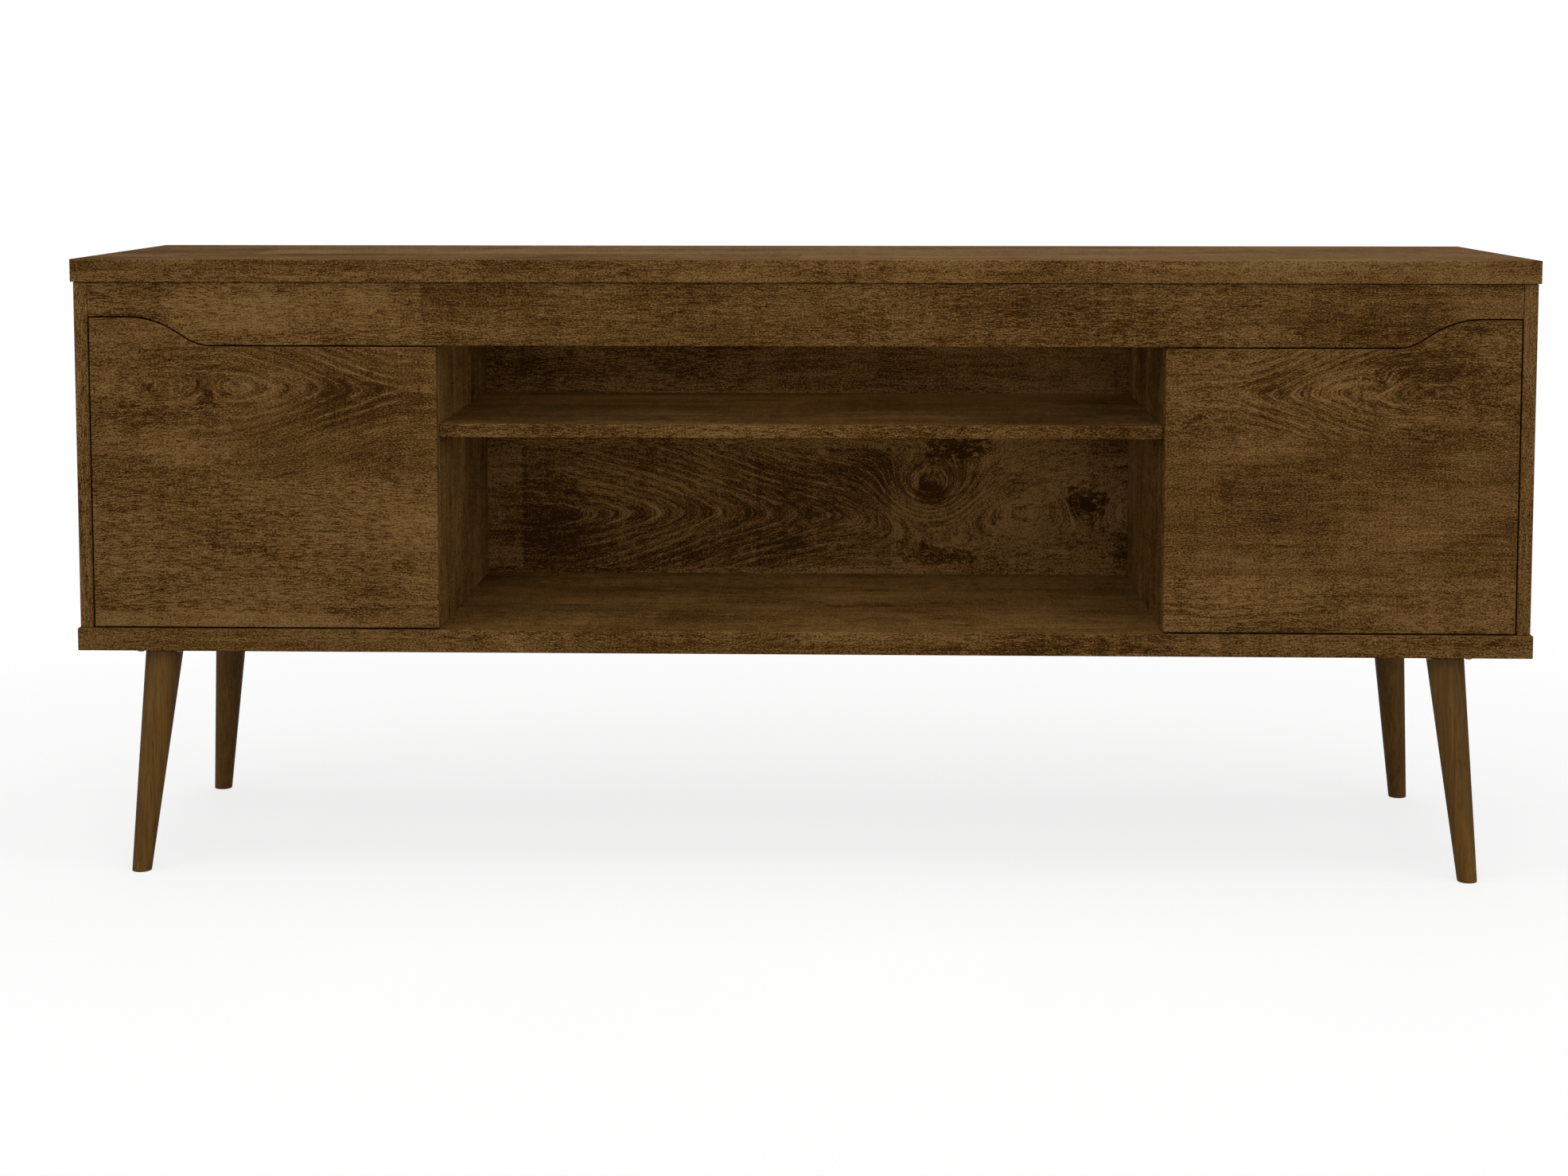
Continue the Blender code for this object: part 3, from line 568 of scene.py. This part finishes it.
def paint_fittings():
    """Paints the hinges, legs and small parts by the ends of their names. Returns the screws' metals."""
    nickel = metal("nickel_plate", (0.60, 0.58, 0.54), (0.72, 0.70, 0.66), 0.30)
    zinc = metal("cast_zinc", (0.36, 0.36, 0.37), (0.55, 0.55, 0.57), 0.42)
    steel = metal("zinc_plated_steel", (0.34, 0.34, 0.35), (0.52, 0.52, 0.54), 0.34, brushed=12.0)
    kinds = {
        "_hinge_pin": steel,
        "_hinge_cup": nickel,
        "_hinge_arm": nickel,
        "_hinge_plate": nickel,
        "_cam": zinc,
        "_leg_plate": steel,
        "_leg_bolt": steel,
        "_leg": stained_leg(),
        "_dowel": bare_dowel(),
        "_bumper": soft_bumper(),
    }
    for node in NODES:
        for ending, material in kinds.items():
            if node.endswith(ending):
                paint(node, material)
    return zinc, steel


# Screws, cam fittings and nails


def turned(bm, matrix, profile, sides):
    """Rings of (radius, height), lowest first; the first is capped. Returns the last ring's vertices."""
    turns = [math.tau * step / sides for step in range(sides)]
    rings = []
    for radius, height in profile:
        points = [Vector((radius * math.cos(turn), radius * math.sin(turn), height)) for turn in turns]
        rings.append([bm.verts.new(matrix @ point) for point in points])
    for low, high in zip(rings, rings[1:]):
        for step in range(sides):
            after = (step + 1) % sides
            bm.faces.new((low[step], low[after], high[after], high[step]))
    bm.faces.new(list(reversed(rings[0])))
    return rings[-1]


def crossed_top(bm, matrix, ring, reach, slot, height, depth):
    """Fills the ring with a face that has a cross-shaped recess with tapering walls."""
    a, b = slot / 2, reach
    corners = (
        (a, b), (-a, b), (-a, a), (-b, a), (-b, -a), (-a, -a),
        (-a, -b), (a, -b), (a, -a), (b, -a), (b, a), (a, a),
    )
    mouth = [bm.verts.new(matrix @ Vector((x, y, height))) for x, y in corners]
    lowest = [Vector((x * RECESS_TAPER, y * RECESS_TAPER, height - depth)) for x, y in corners]
    floor = [bm.verts.new(matrix @ point) for point in lowest]
    count = len(corners)
    rim = [bm.edges.get((ring[i], ring[(i + 1) % len(ring)])) for i in range(len(ring))]
    edge = [bm.edges.new((mouth[i], mouth[(i + 1) % count])) for i in range(count)]
    bmesh.ops.triangle_fill(bm, edges=rim + edge, use_beauty=True)
    for i in range(count):
        after = (i + 1) % count
        bm.faces.new((mouth[i], mouth[after], floor[after], floor[i]))
    bm.faces.new(floor)


def screw(bm, matrix, radius, rise):
    """A pan-head screw standing on the matrix's origin, with the start of its shank below."""
    shank = radius * 0.45
    profile = (
        (shank * 0.5, -SHANK_LENGTH),
        (shank, -SHANK_LENGTH * 0.75),
        (shank, 0.0),
        (radius, 0.0),
        (radius, rise * 0.30),
        (radius * 0.93, rise * 0.68),
        (radius * 0.76, rise * 0.94),
        (radius * 0.66, rise),
    )
    ring = turned(bm, matrix, profile, SCREW_SIDES)
    crossed_top(bm, matrix, ring, radius * 0.50, radius * 0.24, rise, rise * 0.8)


def cam_disc(bm, matrix, depth):
    """A cam fitting's disc, its face at the matrix's origin, with a rounded rim and a sunk ring."""
    profile = (
        (CAM_RADIUS * 0.9, -depth),
        (CAM_RADIUS, CAM_RIM - depth),
        (CAM_RADIUS, -CAM_RIM * 0.75),
        (CAM_RADIUS - CAM_RIM * 0.5, -CAM_RIM * 0.125),
        (CAM_RADIUS - CAM_RIM, 0.0),
        (CAM_RADIUS * 0.72, 0.0),
        (CAM_RADIUS * 0.69, -CAM_SINK),
        (CAM_RADIUS * 0.64, -CAM_SINK),
    )
    ring = turned(bm, matrix, profile, CAM_SIDES)
    crossed_top(bm, matrix, ring, CAM_RADIUS * 0.46, CAM_RADIUS * 0.22, -CAM_SINK, CAM_RECESS)


def cam_bolt(bm, matrix, length):
    foot, shank, tip = BOLT_RADII
    first, last = BOLT_TAPERS
    profile = ((foot, 0.0), (shank, first), (shank, length - last), (tip, length))
    bm.faces.new(turned(bm, matrix, profile, BOLT_SIDES))


def facing(place, towards, turn=0.0):
    """Stands a shape's Z axis at the place along a direction, turned about it."""
    upright = Vector((0, 0, 1)).rotation_difference(Vector(towards)).to_matrix().to_4x4()
    return Matrix.Translation(place) @ upright @ Matrix.Rotation(turn, 4, "Z")


def add_piece(name, body, material, bm):
    bmesh.ops.recalc_face_normals(bm, faces=bm.faces)
    mesh = bpy.data.meshes.new(name)
    bm.to_mesh(mesh)
    bm.free()
    mesh.materials.append(material)
    mesh.shade_smooth()
    mesh.set_sharp_from_angle(angle=SHARP_ANGLE)
    piece = bpy.data.objects.new(name, mesh)
    bpy.context.scene.collection.objects.link(piece)
    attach(piece, body)
    return piece


def add_screws(name, body, material, places, towards, head):
    bm = bmesh.new()
    for number, place in enumerate(places):
        screw(bm, facing(place, towards, SCREW_TURN * (number + len(name))), *head)
    add_piece(name, body, material, bm)


def add_hinge_screws(steel):
    """Screws in each cup's flange and each plate's wings, and those that hold the arm to its plate."""
    for side, sign in SIDES:
        inwards = (-sign, 0, 0)
        for level in LEVELS:
            hinge = f"{side}_{level}_hinge"
            low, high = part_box(f"{hinge}_cup")
            middle = (low + high) / 2
            heights = (middle.z - CUP_SCREW_REACH, middle.z + CUP_SCREW_REACH)
            places = [(middle.x, high.y, z) for z in heights]
            name = f"{hinge}_cup_screws"
            add_screws(name, f"{side}_door_leaf", steel, places, (0, 1, 0), CUP_SCREW)

            low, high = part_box(f"{hinge}_plate")
            middle = (low + high) / 2
            wall, block = (low.x, high.x) if sign < 0 else (high.x, low.x)
            surface = wall - sign * HINGE_SHEET
            heights = (middle.z - PLATE_SCREW_REACH, middle.z + PLATE_SCREW_REACH)
            places = [(surface, middle.y, z) for z in heights]
            add_screws(f"{hinge}_plate_screws", "case", steel, places, inwards, PLATE_SCREW)

            surface = block - sign * (HINGE_SHEET + ARM_GAP)
            depths = [low.y + share * (high.y - low.y) for share in ARM_SCREW_SHARES]
            places = [(surface, y, middle.z) for y in depths]
            add_screws(f"{hinge}_arm_screws", "case", steel, places, inwards, ARM_SCREW)


def add_leg_plate_screws(steel):
    reaches = (-LEG_SCREW_REACH, LEG_SCREW_REACH)
    for end in ENDS:
        for side, _ in SIDES:
            low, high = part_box(f"{end}_{side}_leg_plate")
            middle = (low + high) / 2
            surface = high.z - LEG_PLATE_SHEET
            places = [(middle.x + dx, middle.y + dy, surface) for dx in reaches for dy in reaches]
            name = f"{end}_{side}_leg_plate_screws"
            add_screws(name, "case", steel, places, (0, 0, -1), LEG_SCREW)


def add_cams(zinc):
    """Detailed front cams over the plain ones, and the same again in the rear of each upright."""
    for side, sign in SIDES:
        for kind, into in (("side_panel", sign), ("divider", -sign)):
            board_low, board_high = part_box(f"{side}_{kind}")
            middle_x = (board_low.x + board_high.x) / 2
            for level, up in (("lower", -1), ("upper", 1)):
                name = f"{side}_{kind}_{level}"
                low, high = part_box(f"{name}_cam")
                face = low.x if into > 0 else high.x
                disc_z = low.z + CAM_RADIUS if up > 0 else high.z - CAM_RADIUS
                bolt_z = high.z if up > 0 else low.z
                half = CAM_RADIUS * 0.5  # the bolt starts inside the disc
                for row, y in (("", (low.y + high.y) / 2), ("rear_", REAR_CAM_Y)):
                    turn = SCREW_TURN * (len(name) + len(row) + 1)
                    bm = bmesh.new()
                    cam_disc(bm, facing((face, y, disc_z), (-into, 0, 0), turn), high.x - low.x)
                    start = Vector((middle_x, y, disc_z + up * half))
                    cam_bolt(bm, facing(start, (0, 0, up)), abs(bolt_z - disc_z) - half)
                    fitting = add_piece(f"{name}_{row}cam_fitting", "case", zinc, bm)
                    if not row:
                        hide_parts(f"{name}_cam")


def spread(low, high, spacing):
    """Evenly spaced numbers from low to high, both included."""
    steps = max(1, round((high - low) / spacing))
    return [low + (high - low) * step / steps for step in range(steps + 1)]


def add_back_nails(steel):
    """Flat-headed nails through the back panels' ends into the uprights, and into the shelf's rear edge."""
    shelf_low, shelf_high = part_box("centre_shelf")
    for panel in ("left", "centre", "right"):
        low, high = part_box(f"{panel}_back_panel")
        heights = spread(low.z + NAIL_FROM_END, high.z - NAIL_FROM_END, NAIL_SPACING)
        places = [(x, high.y, z) for x in (low.x + NAIL_INSET, high.x - NAIL_INSET) for z in heights]
        if panel == "centre":
            z = (shelf_low.z + shelf_high.z) / 2
            inset = NAIL_SPACING / 2
            columns = spread(shelf_low.x + inset, shelf_high.x - inset, NAIL_SPACING)
            places += [(x, high.y, z) for x in columns]
        bm = bmesh.new()
        for place in places:
            ring = turned(bm, facing(place, (0, 1, 0)), NAIL_PROFILE, NAIL_SIDES)
            bm.faces.new(ring)
        add_piece(f"{panel}_back_nails", "case", steel, bm)


# Room and camera


def add_floor():
    bm = bmesh.new()
    bmesh.ops.create_circle(bm, cap_ends=True, segments=96, radius=FLOOR_RADIUS)
    mesh = bpy.data.meshes.new("floor")
    bm.to_mesh(mesh)
    bm.free()
    floor = bpy.data.objects.new("floor", mesh)
    floor.location.z = -FLOOR_DROP
    bpy.context.scene.collection.objects.link(floor)
    g = Graph("pale_floor")
    x, y, _ = g.place()
    cloud = g.noise(g.times(x, 1.5), g.times(y, 1.5), 0.0, detail=3.0)
    colour = g.ramp(cloud, (0.3, (0.80, 0.80, 0.79)), (0.7, (0.84, 0.84, 0.83)))
    away = g.math("SQRT", g.add(g.times(x, x, FLOOR_STRETCH), g.times(y, y)))
    g.fill(g.shader, {"Alpha": g.fade(away, *FLOOR_FADE, FLOOR_SHARE, 0.0)})
    mesh.materials.append(g.finish(colour, 0.85, cloud, 0.0002, Specular_IOR_Level=0.1))


def add_light(name, place, target, size, power):
    light = bpy.data.lights.new(name, "AREA")
    light.shape = "RECTANGLE"
    light.size, light.size_y = size
    light.energy = power
    lamp = bpy.data.objects.new(name, light)
    lamp.location = place
    aim = Vector(target) - Vector(place)
    lamp.rotation_euler = aim.to_track_quat("-Z", "Y").to_euler()
    bpy.context.scene.collection.objects.link(lamp)
    return lamp


def add_sky():
    """White as the camera sees it, and faint as light."""
    world = bpy.data.worlds.new("soft_white")
    world.use_nodes = True
    tree = world.node_tree
    sky = tree.nodes["Background"]
    sky.inputs["Color"].default_value = (1, 1, 1, 1)
    strength = tree.nodes.new("ShaderNodeMix")
    strength.inputs["A"].default_value = SKY_LIGHT
    strength.inputs["B"].default_value = 1.0
    seen = tree.nodes.new("ShaderNodeLightPath")
    tree.links.new(seen.outputs["Is Camera Ray"], strength.inputs["Factor"])
    tree.links.new(strength.outputs["Result"], sky.inputs["Strength"])
    bpy.context.scene.world = world


def add_niche_fills():
    """Faint panels under the niche's two ceilings, in place of the light that its walls would bounce."""
    left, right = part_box("left_divider")[1].x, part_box("right_divider")[0].x
    shelf_low, shelf_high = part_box("centre_shelf")
    size = ((right - left) * FILL_SHARES[0], (shelf_high.y - shelf_low.y) * FILL_SHARES[1])
    for name, ceiling, power in (
        ("upper_niche_fill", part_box("top_panel")[0].z, UPPER_FILL_WATTS),
        ("lower_niche_fill", shelf_low.z, LOWER_FILL_WATTS),
    ):
        place = Vector(((left + right) / 2, (shelf_low.y + shelf_high.y) / 2, ceiling - FILL_DROP))
        fill = add_light(name, place, place - Vector((0, 0, 1)), size, power)
        fill.data.color = FILL_COLOUR
        fill.visible_camera = False
        fill.visible_glossy = False


def add_room():
    add_sky()
    bpy.context.scene.view_settings.view_transform = "Standard"
    add_floor()
    for name, (place, size, power) in SOFTBOXES.items():
        lamp = add_light(name, place, LIGHT_TARGET, size, power)
        lamp.visible_glossy = name != "rear_softbox"
    add_niche_fills()


def add_camera():
    camera = bpy.data.objects.new("camera", bpy.data.cameras.new("camera"))
    camera.location = CAMERA_PLACE
    camera.rotation_euler = (math.radians(90 - CAMERA_TILT), 0, math.radians(CAMERA_TURN))
    camera.data.sensor_width = CAMERA_SENSOR
    camera.data.lens = CAMERA_LENS
    camera.data.shift_x, camera.data.shift_y = CAMERA_SHIFT
    bpy.context.scene.collection.objects.link(camera)
    bpy.context.scene.camera = camera


add_camera()
add_room()
paint_boards()
zinc, steel = paint_fittings()
add_hinge_screws(steel)
add_leg_plate_screws(steel)
add_cams(zinc)
add_back_nails(steel)
